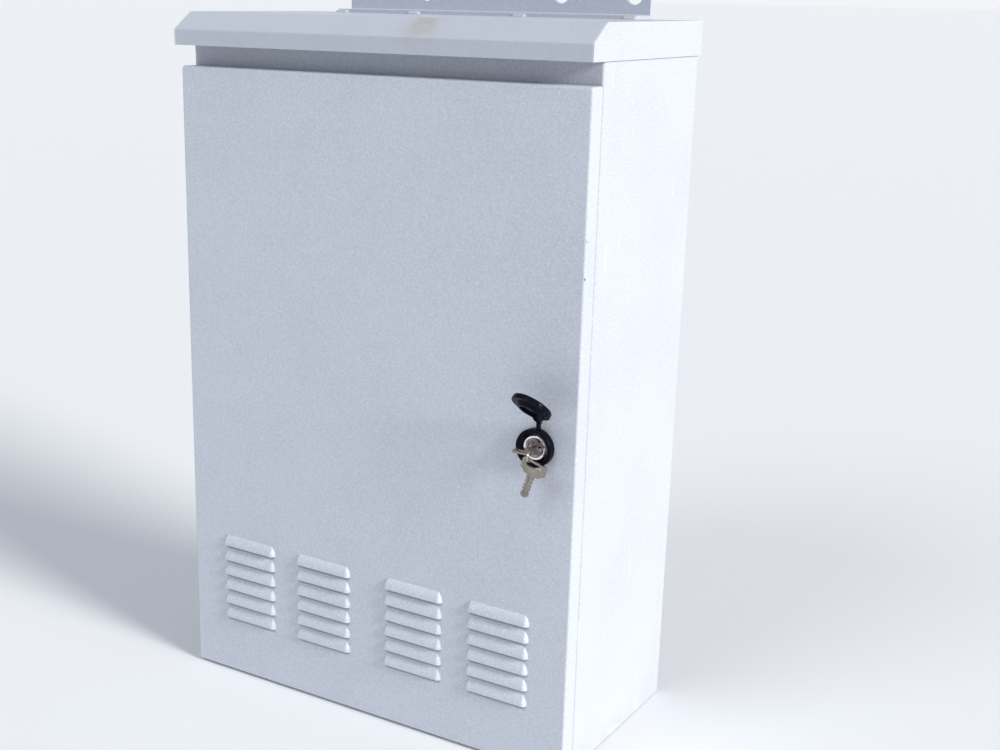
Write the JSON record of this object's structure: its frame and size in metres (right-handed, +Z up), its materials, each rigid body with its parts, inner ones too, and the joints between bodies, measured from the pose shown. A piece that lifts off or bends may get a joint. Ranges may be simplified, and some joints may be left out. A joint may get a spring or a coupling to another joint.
{
  "type": "outdoor equipment cabinet",
  "caption": "Wall or pole hung steel cabinet with a rain hood, a louvred hinged door, a key lock under a flip cap and an inner mounting plate.",
  "frame": {"origin": "middle of the box's underside", "axes": "+X to the right for someone facing the door, +Y from the door back to the wall, +Z up"},
  "size_m": [0.4036, 0.2365, 0.6535],
  "materials": {
    "grey_paint": "light grey textured powder coat on steel",
    "zinc": "zinc plated steel",
    "foam": "black closed cell foam",
    "rubber": "matte black rubber",
    "filter_mat": "off-white filter mat",
    "black_plastic": "glossy black plastic",
    "chrome": "polished chrome plate",
    "nickel": "nickel plated brass, brushed"
  },
  "bodies": {
    "cabinet": {"body_shell": "grey_paint", "rain_hood": "grey_paint", "hanging_bracket": "grey_paint", "bracket_welds": "grey_paint", "gland_seal": "foam", "gland_plate": "grey_paint", "gland_studs": "zinc", "gland_nuts": "zinc", "cable_grommets": "rubber", "mounting_plate": "zinc", "plate_spacers": "zinc", "plate_studs": "zinc", "plate_washers": "zinc", "plate_nuts": "zinc", "box_earth_stud": "zinc", "box_earth_nut": "zinc", "hinge_ears": "grey_paint"},
    "door": {"door_panel": "grey_paint", "door_gasket": "foam", "door_ribs": "grey_paint", "dust_filter": "filter_mat", "filter_grille": "zinc", "grille_studs": "zinc", "grille_nuts": "zinc", "hinge_brackets": "grey_paint", "hinge_pins": "zinc", "door_earth_stud": "zinc", "door_earth_nut": "zinc", "lock_bezel": "black_plastic", "lock_barrel": "chrome", "lock_washer": "zinc", "lock_nut": "zinc", "cap_pin": "chrome"},
    "lock_core": {"lock_plug": "chrome", "cam": "zinc", "cam_washer": "zinc", "cam_screw": "zinc", "key": "nickel"},
    "cap": {"lock_cap": "black_plastic"},
    "ring": {"key_ring": "nickel"},
    "spare": {"spare_key": "nickel"}
  },
  "joints": [
    {"name": "door_hinge", "type": "hinge", "parent": "cabinet", "child": "door", "pos_m": [-0.195, -0.0985, 0.284], "axis": [0, 0, -1], "range_deg": [0, 98]},
    {"name": "cap_hinge", "type": "hinge", "parent": "door", "child": "cap", "pos_m": [0.16972, -0.1148, 0.3109], "axis": [0.9763, 0, -0.2164], "range_deg": [0, 74]},
    {"name": "lock_turn", "type": "hinge", "parent": "door", "child": "lock_core", "pos_m": [0.1642, -0.1, 0.286], "axis": [0, 1, 0], "range_deg": [0, 90]},
    {"name": "ring_swing", "type": "hinge", "parent": "lock_core", "child": "ring", "pos_m": [0.1694, -0.1269, 0.286], "axis": [1, 0, 0], "range_deg": [-75, 10]},
    {"name": "spare_swing", "type": "hinge", "parent": "ring", "child": "spare", "pos_m": [0.1694, -0.1269, 0.2801], "axis": [0, 1, 0], "range_deg": [-30, 3]}
  ]
}
